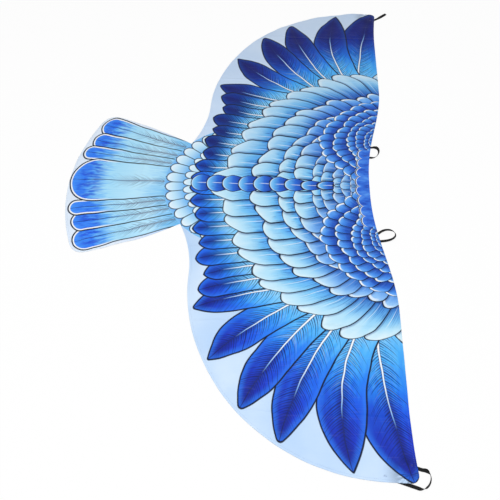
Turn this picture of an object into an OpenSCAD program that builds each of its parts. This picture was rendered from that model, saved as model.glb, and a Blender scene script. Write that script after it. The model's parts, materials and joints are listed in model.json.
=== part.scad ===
// Child's bird-wing dress-up cape: one printed cloth with two wings and a tail, laid flat, and four
// flat elastic loops for the shoulders and the fingers. Millimetres, print up, neck towards +Y, with
// the origin at the middle of the neck edge.

/* [Cloth outline] */
// Overall width, from one wing's side edge to the other's
wing_span = 1196; // [1000:1:1400]
// Drop of the wings' lowest edge below the neck edge
wing_drop = 332; // [290:1:380]
// Distance from the centre line at which the round trailing edge starts
trailing_start = 230; // [200:1:290]
// Drop of the tail's root below the wings' lowest edge
root_drop = 29; // [15:1:50]
// Depth of the scooped neck edge below the straight leading edge
scoop_depth = 36; // [20:1:50]
// Half width of the scooped neck edge
scoop_half = 300; // [240:1:380]
// Forward flare of the leading edge at the wing tips
tip_flare = 6; // [0:1:12]
// Length of the leading edge over which it flares
flare_run = 110; // [60:1:150]
// Corner radius where the leading edge meets a wing's side edge
tip_corner_r = 12; // [8:1:18]

/* [Tail] */
// Width of the tail at its root
root_w = 218; // [170:1:260]
// Width of the tail at its end, before its corners are rounded
tail_w = 384; // [320:1:440]
// Length of the tail from its root to its end, on the centre line
tail_length = 233; // [190:1:280]
// Depth of the tail's rounded end
tail_end_sag = 44; // [25:1:60]
// Bulge of the tail's side edges
tail_side_bulge = 8; // [0:1:14]
// Rounding of the tail's two corners
tail_corner_r = 25; // [15:1:35]

/* [Cloth and hem] */
// Thickness of the cloth
cloth_t = 0.3; // [0.2:0.05:0.4]
// Width of the hem that is turned under all round
hem_w = 5; // [4:0.5:7]
// Distance of the hem seam from the edge
seam_inset = 3.6; // [3:0.1:3.8]
// Width of the seam's thread
thread_w = 0.6; // [0.4:0.1:0.8]
// Height of the thread on the cloth
thread_h = 0.3; // [0.2:0.05:0.4]

/* [Folds] */
// Distance of the wing folds from the centre line
fold_x = 152; // [148:1:170]
// Gap between two panels along a fold line
fold_gap = 0.9; // [0.9:0.05:1]
// Distance from a fold line at which the hem seams stop
seam_stop = 1; // [0.9:0.1:2]

/* [Elastic] */
// Width of the flat elastic
band_w = 6; // [4:0.5:6.5]
// Thickness of the flat elastic
band_t = 0.4; // [0.3:0.05:0.5]
// Gap between two ends of elastic that are sewn on each other
stack_gap = 0.1; // [0.1:0.05:0.2]
// Length of elastic that is sewn down under the cloth
tab_len = 12; // [10:1:16]
// Side clearance of the elastic in the hem
tab_clear = 0.2; // [0.1:0.05:0.3]
// Clearance at the line about which a loop swings
swing_clear = 0.15; // [0.1:0.05:0.2]
// Stitches in each bar tack
tack_stitches = 5; // [3:1:6]

/* [Shoulder loops] */
// Distance of a shoulder loop's swing line from the neck edge
shoulder_out = 1.2; // [1:0.1:2]
// Place of the left shoulder loop, from the centre line
left_shoulder_x = 100; // [80:1:120]
// Distance between the two ends of the left shoulder loop
left_shoulder_spread = 30; // [20:1:36]
// Reach of the left shoulder loop past its swing line
left_shoulder_reach = 16; // [12:1:26]
// Place of the right shoulder loop, from the centre line
right_shoulder_x = 129; // [80:1:130]
// Distance between the two ends of the right shoulder loop
right_shoulder_spread = 19; // [14:1:30]
// Reach of the right shoulder loop past its swing line
right_shoulder_reach = 27; // [18:1:32]

/* [Wing-tip loops] */
// Distance of a wing-tip loop's swing line from the rounded corner
tip_out = 1.5; // [1:0.1:3]
// Direction in which the left wing-tip loop points, from straight ahead
left_tip_angle = 36; // [25:1:55]
// Shift of the left wing-tip loop towards the leading edge
left_tip_shift = 14; // [10:1:20]
// Reach of the left wing-tip loop past its swing line
left_tip_reach = 26; // [16:1:30]
// Direction in which the right wing-tip loop points, from straight ahead
right_tip_angle = 18; // [12:1:45]
// Shift of the right wing-tip loop towards the leading edge
right_tip_shift = 0; // [-4:1:6]
// Distance between the two ends of the right wing-tip loop
right_tip_spread = 29; // [24:1:36]
// Reach of the right wing-tip loop past its swing line
right_tip_reach = 15; // [12:1:24]

/* [Hidden] */

cloth_colour = "#4f9fe6";
wing_colour = "#2f6fd6";
tail_colour = "#74bdf2";
thread_colour = "#d9ecfb";
elastic_colour = "#15161a";

// Distances of a bar tack from the elastic's inner end and the hem, and from the elastic's sides
tack_margin = 1;
tack_side = 0.5;

// Levels: the hem rests on the ground, the cloth lies on the hem and the stitches on the cloth. The
// turned-under hem is as thick as two ends of elastic on each other.
hem_turn = 2 * band_t + stack_gap;
cloth_z = hem_turn;
top_z = hem_turn + cloth_t;
band_z = hem_turn - band_t / 2;

// Lines of the outline
half_span = wing_span / 2;
root_y = -(wing_drop + root_drop);
tail_y = root_y - tail_length;
tail_corner = [tail_w / 2, tail_y + tail_end_sag];
tail_root = [root_w / 2, root_y];
trailing_end = [trailing_start, -wing_drop];
// Distance past the centre line or an edge that clears the whole cloth
beyond = wing_span;

// A power over 1 keeps the scoop's middle flat
scoop_power = 1.25;
tip_centre = [half_span - tip_corner_r, scoop_depth + tip_flare - tip_corner_r];
flare_start = tip_centre.x - flare_run;

// Height of the leading edge at a distance x from the centre line
function lead_y(x) =
    abs(x) < scoop_half ? scoop_depth * pow((1 - cos(180 * x / scoop_half)) / 2, scoop_power)
    : scoop_depth + tip_flare * pow(max(0, abs(x) - flare_start) / flare_run, 2);

// Points of a curve with one control point, without its first point
function bend(a, b, c, n) = [
    for (i = [1 : n])
        let (t = i / n)
        (1 - t) * (1 - t) * a + 2 * t * (1 - t) * b + t * t * c
];

// Point on the tail's side edge, from its root at 0 to its corner at 1
function tail_side(t) =
    let (along = tail_corner - tail_root, out = [-along.y, along.x] / norm(along))
    tail_root + t * along + 4 * t * (1 - t) * tail_side_bulge * out;

// Point on the tail's end, at a distance x from the centre line
function tail_end(x) = [x, tail_y + tail_end_sag * pow(x / tail_corner.x, 2)];

scoop_steps = 20;
flare_steps = 5;
arc_steps = 6;
trailing_steps = 30;
root_steps = 8;
tail_steps = 8;
corner_start = 1 - tail_corner_r / norm(tail_corner - tail_root);

// Right half of the outline, clockwise from the neck's middle to the tail's
right_half = concat(
    [for (i = [0 : scoop_steps]) let (x = scoop_half * i / scoop_steps) [x, lead_y(x)]],
    [for (i = [0 : flare_steps - 1]) let (x = flare_start + flare_run * i / flare_steps) [x, lead_y(x)]],
    [for (i = [0 : arc_steps]) let (a = 90 - 90 * i / arc_steps)
        tip_centre + tip_corner_r * [cos(a), sin(a)]],
    [for (i = [0 : trailing_steps]) let (a = -90 * i / trailing_steps)
        [trailing_start + (half_span - trailing_start) * cos(a), wing_drop * sin(a)]],
    bend(trailing_end, [(trailing_end.x + tail_root.x) / 2, trailing_end.y], tail_root, root_steps),
    [for (i = [1 : tail_steps]) tail_side(corner_start * i / tail_steps)],
    bend(tail_side(corner_start), tail_corner, tail_end(tail_corner.x - tail_corner_r), arc_steps),
    [for (i = [1 : tail_steps]) tail_end((tail_corner.x - tail_corner_r) * (1 - i / tail_steps))]
);
half_count = len(right_half);
outline = concat(
    right_half,
    [for (i = [half_count - 2 : -1 : 1]) [-right_half[i].x, right_half[i].y]]
);

// The outline moved inwards by a distance d
function inset(d) = [
    for (i = [0 : len(outline) - 1])
        let (
            before = outline[(i + len(outline) - 1) % len(outline)],
            after = outline[(i + 1) % len(outline)],
            along = (after - before) / norm(after - before)
        )
        outline[i] + d * [along.y, -along.x]
];

// Swing lines of the loops: the middle of each line, and the angle of its outward direction from +Y
function shoulder_frame(x, spread) =
    let (
        a = [x - spread / 2, lead_y(x - spread / 2)],
        b = [x + spread / 2, lead_y(x + spread / 2)],
        turn = atan2(b.y - a.y, b.x - a.x)
    )
    [(a + b) / 2 + shoulder_out * [-sin(turn), cos(turn)], turn];

function tip_frame(side, angle, shift) =
    let (
        out = [side * sin(angle), cos(angle)],
        inward = [-side * cos(angle), sin(angle)]
    )
    [[side * tip_centre.x, tip_centre.y] + (tip_corner_r + tip_out) * out + shift * inward, -side * angle];

left_shoulder = shoulder_frame(-left_shoulder_x, left_shoulder_spread);
right_shoulder = shoulder_frame(right_shoulder_x, right_shoulder_spread);
left_tip = tip_frame(-1, left_tip_angle, left_tip_shift);
right_tip = tip_frame(1, right_tip_angle, right_tip_shift);

// Level of the middle of a loop's first or second end: just under the cloth, or under the other end
function end_z(spread, i) = spread == 0 && i == 0 ? band_z - band_t - stack_gap : band_z;

// Distance from a swing line at a wing tip back to the hem's inner edge, at u along the line
function hem_back(frame, u) =
    let (
        turn = frame[1],
        at = frame[0] + u * [cos(turn), sin(turn)],
        past_lead = (at.y - lead_y(tip_centre.x - tab_len) + hem_w) / cos(turn),
        past_side = (abs(at.x) - half_span + hem_w) / abs(sin(turn))
    )
    max(past_lead, past_side);

// Distance back to the inner end of elastic that lies past the hem over its whole width
function tip_start(frame, u) =
    tab_len - hem_w + max(hem_back(frame, u - band_w / 2), hem_back(frame, u + band_w / 2));

// Shape of each loop: the splay of its two ends, the lifts of its first and second strand, and the share
// by which the first strand's handle is shorter and the second's longer
left_shoulder_form = [7, 5, 5, 0];
right_shoulder_form = [8, 19, 5, 0.35];
left_tip_form = [0, 1, 9, 0];
right_tip_form = [5, 6, 6, 0];
// Lean of each band, from its outward side up: on the first strand, on the second and at the second end
left_shoulder_turns = [50, 50, 0];
right_shoulder_turns = [-50, -130, -180];
left_tip_turns = [90, 90, 180];
right_tip_turns = [93, 93, 0];
// The left wing-tip loop lies folded, with its two ends sewn on each other
left_tip_spread = 0;
// Share of a loop's length over which the band turns from flat to its lean
turn_share = 0.3;
loop_rings = 28;
// A curve with two control points reaches this share of its handles' length
handle_share = 0.75;

// Cloth pieces

module place(frame) {
    translate([frame[0].x, frame[0].y, 0]) rotate(frame[1]) children();
}

// Regions that the fold lines cut the cloth into, each keeping a distance from those lines
module back_region(off = fold_gap / 2) {
    translate([-fold_x + off, root_y + off]) square([2 * (fold_x - off), beyond]);
}

module wing_region(side, off = fold_gap / 2) {
    translate([side > 0 ? fold_x + off : -fold_x - off - beyond, root_y + off]) square([beyond, beyond]);
}

module tail_region(off = fold_gap / 2) {
    translate([-beyond, root_y - off - beyond]) square([2 * beyond, beyond]);
}

// Cloth cut to a region, with its hem turned under along the outline
module cloth() {
    translate([0, 0, cloth_z]) linear_extrude(cloth_t) intersection() {
        polygon(outline);
        children();
    }
    linear_extrude(hem_turn) intersection() {
        difference() {
            polygon(outline);
            polygon(inset(hem_w));
        }
        children();
    }
}

// Line of stitching along the hem, cut to a region
module hem_seam() {
    color(thread_colour) translate([0, 0, top_z]) linear_extrude(thread_h) intersection() {
        difference() {
            polygon(inset(seam_inset - thread_w / 2));
            polygon(inset(seam_inset + thread_w / 2));
        }
        children();
    }
}

// The two sewn ends of a loop, from under the cloth to the swing line. With a clearance, they are
// the pockets that they leave in the hem, open below.
module loop_ends(spread, starts, clear = 0) {
    for (i = [0, 1]) {
        u = (i - 0.5) * spread;
        bottom = clear > 0 ? -clear : end_z(spread, i) - band_t / 2;
        top = clear > 0 ? hem_turn : end_z(spread, i) + band_t / 2;
        translate([u - band_w / 2 - clear, -starts[i], bottom])
            cube([band_w + 2 * clear, starts[i] - band_t / 2 - swing_clear, top - bottom]);
    }
}

// Rows of stitches across the ends of a loop, on top of the cloth, one set where they lie on each other
module bar_tacks(spread, starts) {
    stitch_w = band_w - 2 * tack_side;
    tack_run = tab_len - hem_w - 2 * tack_margin;
    for (i = spread > 0 ? [0, 1] : [0], k = [0 : tack_stitches - 1]) {
        u = (i - 0.5) * spread;
        v = -starts[i] + tack_margin + tack_run * k / (tack_stitches - 1);
        translate([u - stitch_w / 2, v, top_z]) rotate([90, 0, 90]) linear_extrude(stitch_w) half_round();
    }
}

module half_round() {
    intersection() {
        circle(r = thread_h, $fn = 24);
        translate([-thread_h, 0]) square([2 * thread_h, thread_h]);
    }
}

// Elastic loops

function curve(p, t) =
    pow(1 - t, 3) * p[0] + 3 * t * pow(1 - t, 2) * p[1] + 3 * t * t * (1 - t) * p[2] + pow(t, 3) * p[3];
function slope(p, t) =
    pow(1 - t, 2) * (p[1] - p[0]) + 2 * t * (1 - t) * (p[2] - p[1]) + t * t * (p[3] - p[2]);
function unit(v) = v / norm(v);
function eased(t) = t >= 1 ? 1 : t * t * (3 - 2 * t);

// Control points of a loop, from its first end on the swing line to its second
function loop_points(spread, reach, form) =
    let (
        handle = (reach - swing_clear) / handle_share,
        first = [-spread / 2, swing_clear, end_z(spread, 0)],
        second = [spread / 2, swing_clear, end_z(spread, 1)]
    )
    [
        first,
        first + [-form[0], handle * (1 - form[3]), form[1]],
        second + [form[0], handle * (1 + form[3]), form[2]],
        second
    ];

// Lean of the band at t: it starts flat, takes the lean of each strand and ends flat again
function lean_at(t, turns) =
    t < turn_share ? turns[0] * eased(t / turn_share)
    : t > 1 - turn_share ? turns[2] + (turns[1] - turns[2]) * eased((1 - t) / turn_share)
    : turns[0] + (turns[1] - turns[0]) * (t - turn_share) / (1 - 2 * turn_share);

// Four corners of the band's section at t. At the loop's ends its outward side lies flat and along the
// swing line, and in between it lies square to the band in the loop's own plane.
function band_section(p, t, turns) =
    let (
        along = unit(slope(p, t)),
        rise = unit(cross(p[2] - p[1], p[1] + p[2] - p[0] - p[3])),
        flat = [t < 0.5 ? -1 : 1, 0, 0],
        share = eased(min(t, 1 - t) / turn_share),
        outward = (1 - share) * flat + share * cross(rise, along),
        side = unit(outward - share * (outward * along) * along),
        lean = lean_at(t, turns),
        wide = cos(lean) * side + sin(lean) * unit(cross(along, side)),
        thick = unit(cross(along, wide)),
        middle = curve(p, t)
    )
    [for (c = [[-1, -1], [1, -1], [1, 1], [-1, 1]])
        middle + c.x * band_w / 2 * wide + c.y * band_t / 2 * thick];

module elastic_loop(spread, reach, form, turns) {
    p = loop_points(spread, reach, form);
    rings = [for (i = [0 : loop_rings]) band_section(p, i / loop_rings, turns)];
    points = [for (ring = rings, corner = ring) corner];
    last = 4 * loop_rings;
    walls = [
        for (i = [0 : loop_rings - 1], k = [0 : 3], half = [0, 1])
            let (a = 4 * i + k, b = 4 * i + (k + 1) % 4)
            half == 0 ? [a, b, b + 4] : [a, b + 4, a + 4]
    ];
    ends = [[0, 2, 1], [0, 3, 2], [last, last + 1, last + 2], [last, last + 2, last + 3]];
    color(elastic_colour) polyhedron(points, concat(walls, ends));
}

// Distances from each swing line back to the inner end of the sewn elastic
left_shoulder_starts = [shoulder_out + tab_len, shoulder_out + tab_len];
right_shoulder_starts = [shoulder_out + tab_len, shoulder_out + tab_len];
left_tip_starts = [for (s = [-1, 1]) tip_start(left_tip, s * left_tip_spread / 2)];
right_tip_starts = [for (s = [-1, 1]) tip_start(right_tip, s * right_tip_spread / 2)];

// Nodes

module back_panel() {
    color(cloth_colour) difference() {
        cloth() back_region();
        place(left_shoulder) loop_ends(left_shoulder_spread, left_shoulder_starts, tab_clear);
        place(right_shoulder) loop_ends(right_shoulder_spread, right_shoulder_starts, tab_clear);
    }
}

module left_wing_panel() {
    color(wing_colour) difference() {
        cloth() wing_region(-1);
        place(left_tip) loop_ends(left_tip_spread, left_tip_starts, tab_clear);
    }
}

module right_wing_panel() {
    color(wing_colour) difference() {
        cloth() wing_region(1);
        place(right_tip) loop_ends(right_tip_spread, right_tip_starts, tab_clear);
    }
}

module tail_panel() { color(tail_colour) cloth() tail_region(); }

module back_hem_seam() { hem_seam() back_region(seam_stop); }
module left_wing_hem_seam() { hem_seam() wing_region(-1, seam_stop); }
module right_wing_hem_seam() { hem_seam() wing_region(1, seam_stop); }
module tail_hem_seam() { hem_seam() tail_region(seam_stop); }

module left_shoulder_loop() {
    place(left_shoulder)
        elastic_loop(left_shoulder_spread, left_shoulder_reach, left_shoulder_form, left_shoulder_turns);
}

module right_shoulder_loop() {
    place(right_shoulder)
        elastic_loop(right_shoulder_spread, right_shoulder_reach, right_shoulder_form, right_shoulder_turns);
}

module left_tip_loop() {
    place(left_tip)
        elastic_loop(left_tip_spread, left_tip_reach, left_tip_form, left_tip_turns);
}

module right_tip_loop() {
    place(right_tip)
        elastic_loop(right_tip_spread, right_tip_reach, right_tip_form, right_tip_turns);
}

module left_shoulder_loop_ends() {
    color(elastic_colour) place(left_shoulder) loop_ends(left_shoulder_spread, left_shoulder_starts);
}

module right_shoulder_loop_ends() {
    color(elastic_colour) place(right_shoulder) loop_ends(right_shoulder_spread, right_shoulder_starts);
}

module left_tip_loop_ends() {
    color(elastic_colour) place(left_tip) loop_ends(left_tip_spread, left_tip_starts);
}

module right_tip_loop_ends() {
    color(elastic_colour) place(right_tip) loop_ends(right_tip_spread, right_tip_starts);
}

module left_shoulder_bar_tacks() {
    color(elastic_colour) place(left_shoulder) bar_tacks(left_shoulder_spread, left_shoulder_starts);
}

module right_shoulder_bar_tacks() {
    color(elastic_colour) place(right_shoulder) bar_tacks(right_shoulder_spread, right_shoulder_starts);
}

module left_tip_bar_tacks() {
    color(elastic_colour) place(left_tip) bar_tacks(left_tip_spread, left_tip_starts);
}

module right_tip_bar_tacks() {
    color(elastic_colour) place(right_tip) bar_tacks(right_tip_spread, right_tip_starts);
}

back_panel();
left_wing_panel();
right_wing_panel();
tail_panel();
back_hem_seam();
left_wing_hem_seam();
right_wing_hem_seam();
tail_hem_seam();
left_shoulder_loop();
right_shoulder_loop();
left_tip_loop();
right_tip_loop();
left_shoulder_loop_ends();
right_shoulder_loop_ends();
left_tip_loop_ends();
right_tip_loop_ends();
left_shoulder_bar_tacks();
right_shoulder_bar_tacks();
left_tip_bar_tacks();
right_tip_bar_tacks();
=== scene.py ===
"""A child's bird-wing dress-up cape: printed satin with a stitched hem and four loops of flat elastic."""

import json
import math

import bpy
import numpy as np
from mathutils import Matrix, Vector, geometry, noise


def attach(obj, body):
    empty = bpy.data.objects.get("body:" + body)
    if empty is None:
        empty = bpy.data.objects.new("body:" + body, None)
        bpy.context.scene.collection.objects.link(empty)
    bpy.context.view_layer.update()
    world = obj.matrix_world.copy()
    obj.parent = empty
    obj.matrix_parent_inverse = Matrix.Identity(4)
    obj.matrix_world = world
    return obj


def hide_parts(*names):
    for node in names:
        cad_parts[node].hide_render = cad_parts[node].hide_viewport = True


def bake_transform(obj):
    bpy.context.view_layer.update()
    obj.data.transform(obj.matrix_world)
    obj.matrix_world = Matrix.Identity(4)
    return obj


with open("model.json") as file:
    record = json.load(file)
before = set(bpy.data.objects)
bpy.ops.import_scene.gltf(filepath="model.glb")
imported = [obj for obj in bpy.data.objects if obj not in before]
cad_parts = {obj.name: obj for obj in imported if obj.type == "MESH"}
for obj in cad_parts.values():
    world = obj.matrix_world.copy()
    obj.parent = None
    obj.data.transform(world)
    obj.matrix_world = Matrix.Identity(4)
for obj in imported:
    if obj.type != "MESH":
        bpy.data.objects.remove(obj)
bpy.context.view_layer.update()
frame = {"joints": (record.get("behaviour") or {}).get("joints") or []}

JOINTS = {joint["name"]: joint for joint in frame["joints"]}

# Millimetres in plan are measured from the middle of the neck edge, and go into the scene in metres
MM = 0.001

# Outline of the cloth
WING_SPAN = 1196
WING_DROP = 332
TRAIL_X = 230
ROOT_DROP = 29
ROOT_HALF = 109
SCOOP_DEPTH = 36
SCOOP_HALF = 300
SCOOP_POWER = 1.25
TIP_FLARE = 6
FLARE_RUN = 110
TIP_R = 12
TAIL_HALF = 192
TAIL_LENGTH = 233
TAIL_END_SAG = 44
TAIL_BULGE = 8
TAIL_R = 25

# Points on each stretch of the outline, before they are spaced evenly
LEAD_POINTS = 240
TIP_POINTS = 10
TRAILING_POINTS = 160
ROOT_POINTS = 40
TAIL_POINTS = 50
TAIL_CORNER_POINTS = 8

# Cloth and hem; the rings are rows of points along the edge, by their distance from it
CLOTH_T = 0.3
HEM_TURN = 0.9
HEM_STEP = 0.18
HEM_END = (4.7, 6)
SEAM_INSET = 3.6
SEAM_DIP = 0.12
SEAM_DIP_END = (0.2, 1.4)
EDGE_ROLL = 0.4
EDGE_STEP = 3.5
FIELD_STEP = 5.5
RINGS = (0, 0.35, 1, 2.4, 3.6, 4.7, 5.6, 8)
TOUCH = 1e-3
MERGE = 1e-4

# Ripples: their heights, and the distances over which they run in x and y
RIPPLE = 3
RIPPLE_RUN = (150, 95)
RIPPLE_LOW = 0.45
CREASE = 0.8
CREASE_RUN = (62, 44)
CREASE_BEND = 0.6
FLUTTER = 5
FLUTTER_RUN = 55
FLUTTER_EDGE = 60
STILL_NECK = 300
LEVEL_CUT = 25

# Gathers at the wing tips, and folds from the pack
PUCKER = 1.5
PUCKER_AT = (586, 28)
PUCKER_RISE = (2, 12)
PUCKER_REACH = (6, 42)
PUCKER_EDGE = 8
PUCKER_FOLDS = 9
PACK_FOLD = 0.7
PACK_FOLD_HALF = 5
PACK_FOLDS_X = (165, 330, 495)
PACK_FOLDS_Y = (-170, -450)

# How far a fold reaches to either side of its hinge line, and the cut above the tail's
WING_FOLD = (10, 14)
TAIL_FOLD = 11
TAIL_CUT = 15

# Stitches
STITCH = 2.5
STITCH_GAP = 0.6
STITCH_RISE = 0.3
THREAD_W = 0.55
THREAD_H = 0.3
THREAD_RINGS = 5
THREAD_SIDES = 6
THREAD_END = 0.12
THREAD_SINK = 0.35
TACK_ROWS = 9
TACK_RUN = 5
TACK_W = 5
TACK_MARGIN = 1
TACK_LEAN = 0.1

# Elastic
BAND_W = 6
BAND_T = 0.4
STACK_GAP = 0.1
BAND_Z = HEM_TURN - BAND_T / 2
BAND_RIBS = 6
RIB_STEPS = 4
RIB_DEPTH = 0.05
SELVEDGE = 0.35
SELVEDGE_POWER = 12
TAB_STEP = 1.5
LOOP_STEPS = 96
SOFTEN_PASSES = 3
SOFTEN_SPAN = 3
TURN_SHARE = 0.3
HANDLE_SHARE = 0.75
LOOP_CLEAR = 0.15
LOOP_SWELL = 1
HINGE_FOLD = (1.5, 5)
LOOPS = {
    "left_shoulder": dict(
        body="back", spread=30, reach=16, starts=(13.2, 13.2),
        splay=7, lifts=(5, 5), skew=0, turns=(50, 50, 0),
    ),
    "right_shoulder": dict(
        body="back", spread=19, reach=27, starts=(13.2, 13.2),
        splay=8, lifts=(19, 5), skew=0.35, turns=(-50, -130, -180),
    ),
    "left_tip": dict(
        body="left_wing", spread=0, reach=26, starts=(25.7, 25.7),
        splay=0, lifts=(1, 9), skew=0, turns=(90, 90, 180),
    ),
    "right_tip": dict(
        body="right_wing", spread=29, reach=15, starts=(20.1, 51.7),
        splay=5, lifts=(6, 6), skew=0, turns=(93, 93, 0),
    ),
}

# Inks as sRGB codes; a run of inks gives each a place from 0 to 1
OUTLINE_INK = "06102A"
BARB_INK = "0E1B58"
COMB_INK = "1C469C"
QUILL_INK = "F2FAFF"
RIM_INK = "EAF4FF"
SHAFT_INKS = {0: "FFFFFF", 0.45: "E4F2FF", 0.62: "7FB0F0", 0.7: "1A2C84", 1: "0C1440"}
GROUND_INKS = {0.3: "B8D4F5", 0.5: "C4DCF8", 0.7: "D2E5FA"}
TAIL_INKS = {0.1: "62B8F0", 0.4: "BCE8FD", 0.68: "A6DEFB", 0.8: "62B0F8", 0.9: "3078F2", 1: "4694FA"}
RUMP_INKS = {0: "EAF7FF", 0.25: "BFE5FB", 0.5: "7DBDF2", 0.8: "3E7FDE"}
FLIGHT_INKS = {0: "84CEFA", 0.22: "4CB0F8", 0.4: "2482F0", 0.56: "1A5AE2", 0.76: "1838C4", 1: "141E94"}
PALE_INKS = {0: "D6EFFA", 0.18: "B0E0F9", 0.36: "7AC6F6", 0.55: "3C98EE", 0.75: "1858CA"}
DARK_INKS = {0: "74BAFA", 0.2: "3C88EA", 0.4: "1C50C0", 0.65: "0C1E6A"}
COLLAR_INKS = {0.3: "2652BC", 0.5: "3672DE", 0.7: "5898F0"}
SPINE_INKS = {0: "A4DAFA", 0.16: "64B2F2", 0.36: "2C6AD6", 0.6: "18329A"}
# Elastic from its grooves to its high ribs, with painted shade in the grooves and painted highlight on the
# ribs
ELASTIC_INKS = {0: "030304", 0.6: "070708", 1: "101012"}

# Flight feathers, which stand on an arc: the leading one (base, tip, half width, taper, bow, blunt),
# primaries (turn of the tip, bow, blunt, half width), secondaries (rise of the tip, half width)
LEAD_PLUME = ((318, -6), (599, 35), 50, 108, -11, 0)
PRIMARIES = ((9.5, -27, 2, 39), (30, -14, 11, 34), (44, -11, 9, 33), (61, -10, 3, 32), (78, -6, 6, 31))
SECONDARIES = ((3, 24), (14, 20), (2, 23), (10, 20), (0, 22), (6, 23), (-2, 21), (0, 22))
PLUME_R = 325
PLUME_Y = 60
PLUME_START = 15.1
PLUME_STEP = 6.1
PRIMARY_REACH = 361
PRIMARY_RISE = 38
PRIMARY_TAPER = (112, 8)
SECONDARY_ENDS = ((266, -314), (14, -352))
SECONDARY_TAPER = 30
SECONDARY_BOW = -3
FLIGHT_LINE_W = 2.8

# Tail feathers (middle, half width, margin at the tip), and the barbs of all long feathers
TAIL_FEATHERS = ((178, 33, 7), (125, 27, 10), (84, 22, 6), (0, 66, 2))
TAIL_FAN_Y = -100
TAIL_ROOT_Y = -340
TAIL_TAPER = 0.75
TAIL_LINE_W = 3.7
BARB_STEP = 5

# Body feathers in rows: coverts and rump fan out from a centre
COVERTS = dict(
    centre=(0, 60), squeeze=1, reach=358, ratio=0.815, crowding=0.14, columns=13, slant=-1.5, tip=0.4,
)
LESSER = dict(
    centre=(128, 66), squeeze=0.85, reach=138, ratio=0.82, crowding=0, columns=9, slant=-0.5, tip=0.45,
)
SCALE_LAP = 0.35
COVERT_LINE_W = 2.4
LESSER_LINE_W = 2.2
LESSER_DARK = 0.95
RUMP_Y = -235
RUMP_R = 166
RUMP_ROW = 34
RUMP_TURN = 9.5
RUMP_HALF_W = 13
RUMP_TIP = 0.45
COLLAR_LOBE = 26
COLLAR_END = 104
SPINE_Y = -352
SPINE_ROW = 31
SPINE_HALF_W = 12
SPINE_TIP = 0.8
SPINE_TOP = -70

# Unevenness of the print: wandering lines and clouds; and the run over which painted light makes the left
# wing's ground paler and painted shade its feathers darker
WOBBLE = 5
WOBBLE_RUN = 45
CLOUD_RUN = 120
LEFT_SHADING_RUN = 120

# Woven threads, and how far the print is faded on the back and covered by clear thread
WEAVE_PITCH = 0.9
WEFT_PITCH = 0.75
CORD_PITCH = 1
BACK_FADE = 0.55
THREAD_TINT = 0.12

# Floor, and studio light in metres
FLOOR_HALF = 8000
FLOOR_Z = -0.2
FLOOR_WHITE = 0.9
FLOOR_GLOW = 0.94
WORLD_LIGHT = 0.32
LAMP_AT = (0.72, -0.28, 1.62)
LAMP_SIZE = 2
LAMP_POWER = 31

# Camera solved from the photograph, in metres
CAMERA_AT = (1.03218, -0.16545, 1.04089)
CAMERA_RIGHT = (-0.05143169, 0.99856175, -0.01513964)
CAMERA_UP = (-0.76813193, -0.02986604, 0.63959469)
CAMERA_BACK = (0.63822263, 0.04452468, 0.76856322)
CAMERA_LENS = 53.28


# Outline and heights of the cloth

def lead_y(x):
    """Leading edge of the right half: the neck scoop, a straight run and the flare at the tip."""
    if x < SCOOP_HALF:
        wave = (1 - math.cos(math.pi * x / SCOOP_HALF)) / 2
        return SCOOP_DEPTH * wave ** SCOOP_POWER
    flare_start = WING_SPAN / 2 - TIP_R - FLARE_RUN
    return SCOOP_DEPTH + TIP_FLARE * (max(0, x - flare_start) / FLARE_RUN) ** 2


def tail_end_y(x):
    return -WING_DROP - ROOT_DROP - TAIL_LENGTH + TAIL_END_SAG * (x / TAIL_HALF) ** 2


def quadratic(start, bend, end, count):
    """Points of a quadratic curve, without its first."""
    start, bend, end = (np.array(p, float) for p in (start, bend, end))
    shares = np.linspace(0, 1, count + 1)[1:, None]
    return (1 - shares) ** 2 * start + 2 * shares * (1 - shares) * bend + shares ** 2 * end


def right_outline():
    """Edge of the right half, from the neck round the tip and the tail to the middle of the tail end."""
    half = WING_SPAN / 2
    tip_x = half - TIP_R
    tip_y = lead_y(tip_x) - TIP_R
    points = [(x, lead_y(x)) for x in np.linspace(0, tip_x, LEAD_POINTS)]
    turn = np.linspace(math.pi / 2, 0, TIP_POINTS)[1:]
    points += [(tip_x + TIP_R * math.cos(a), tip_y + TIP_R * math.sin(a)) for a in turn]
    sweep = np.linspace(0, math.pi / 2, TRAILING_POINTS)
    run = half - TRAIL_X
    points += [(TRAIL_X + run * math.cos(a), -WING_DROP * math.sin(a)) for a in sweep]
    root = np.array((ROOT_HALF, -WING_DROP - ROOT_DROP), float)
    bend = ((TRAIL_X + ROOT_HALF) / 2, -WING_DROP)
    points += list(quadratic((TRAIL_X, -WING_DROP), bend, root, ROOT_POINTS))
    corner = np.array((TAIL_HALF, tail_end_y(TAIL_HALF)))
    side = corner - root
    out = np.array((-side[1], side[0])) / np.linalg.norm(side)
    stop = 1 - TAIL_R / np.linalg.norm(side)
    shares = np.linspace(0, stop, TAIL_POINTS)[1:]
    points += [root + side * t + out * (4 * t * (1 - t) * TAIL_BULGE) for t in shares]
    end_x = TAIL_HALF - TAIL_R
    points += list(quadratic(points[-1], corner, (end_x, tail_end_y(end_x)), TAIL_CORNER_POINTS))
    points += [(x, tail_end_y(x)) for x in np.linspace(end_x, 0, TAIL_POINTS)[1:]]
    return np.array(points, float)


def run_along(points):
    """Distance of each point from the start of its line."""
    return np.concatenate(([0], np.cumsum(np.linalg.norm(np.diff(points, axis=0), axis=1))))


def spaced(points, step):
    """The same line with its points at about equal steps, both ends kept."""
    run = run_along(points)
    marks = np.linspace(0, run[-1], round(run[-1] / step) + 1)
    return np.stack([np.interp(marks, run, points[:, k]) for k in (0, 1)], axis=1)


def unit(vectors):
    return vectors / np.linalg.norm(vectors, axis=1)[:, None]


def inset(points, distance):
    """A closed line, clockwise, moved inwards."""
    along = unit(np.roll(points, -1, axis=0) - np.roll(points, 1, axis=0))
    inwards = np.stack([along[:, 1], -along[:, 0]], axis=1)
    return points + inwards * distance


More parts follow.
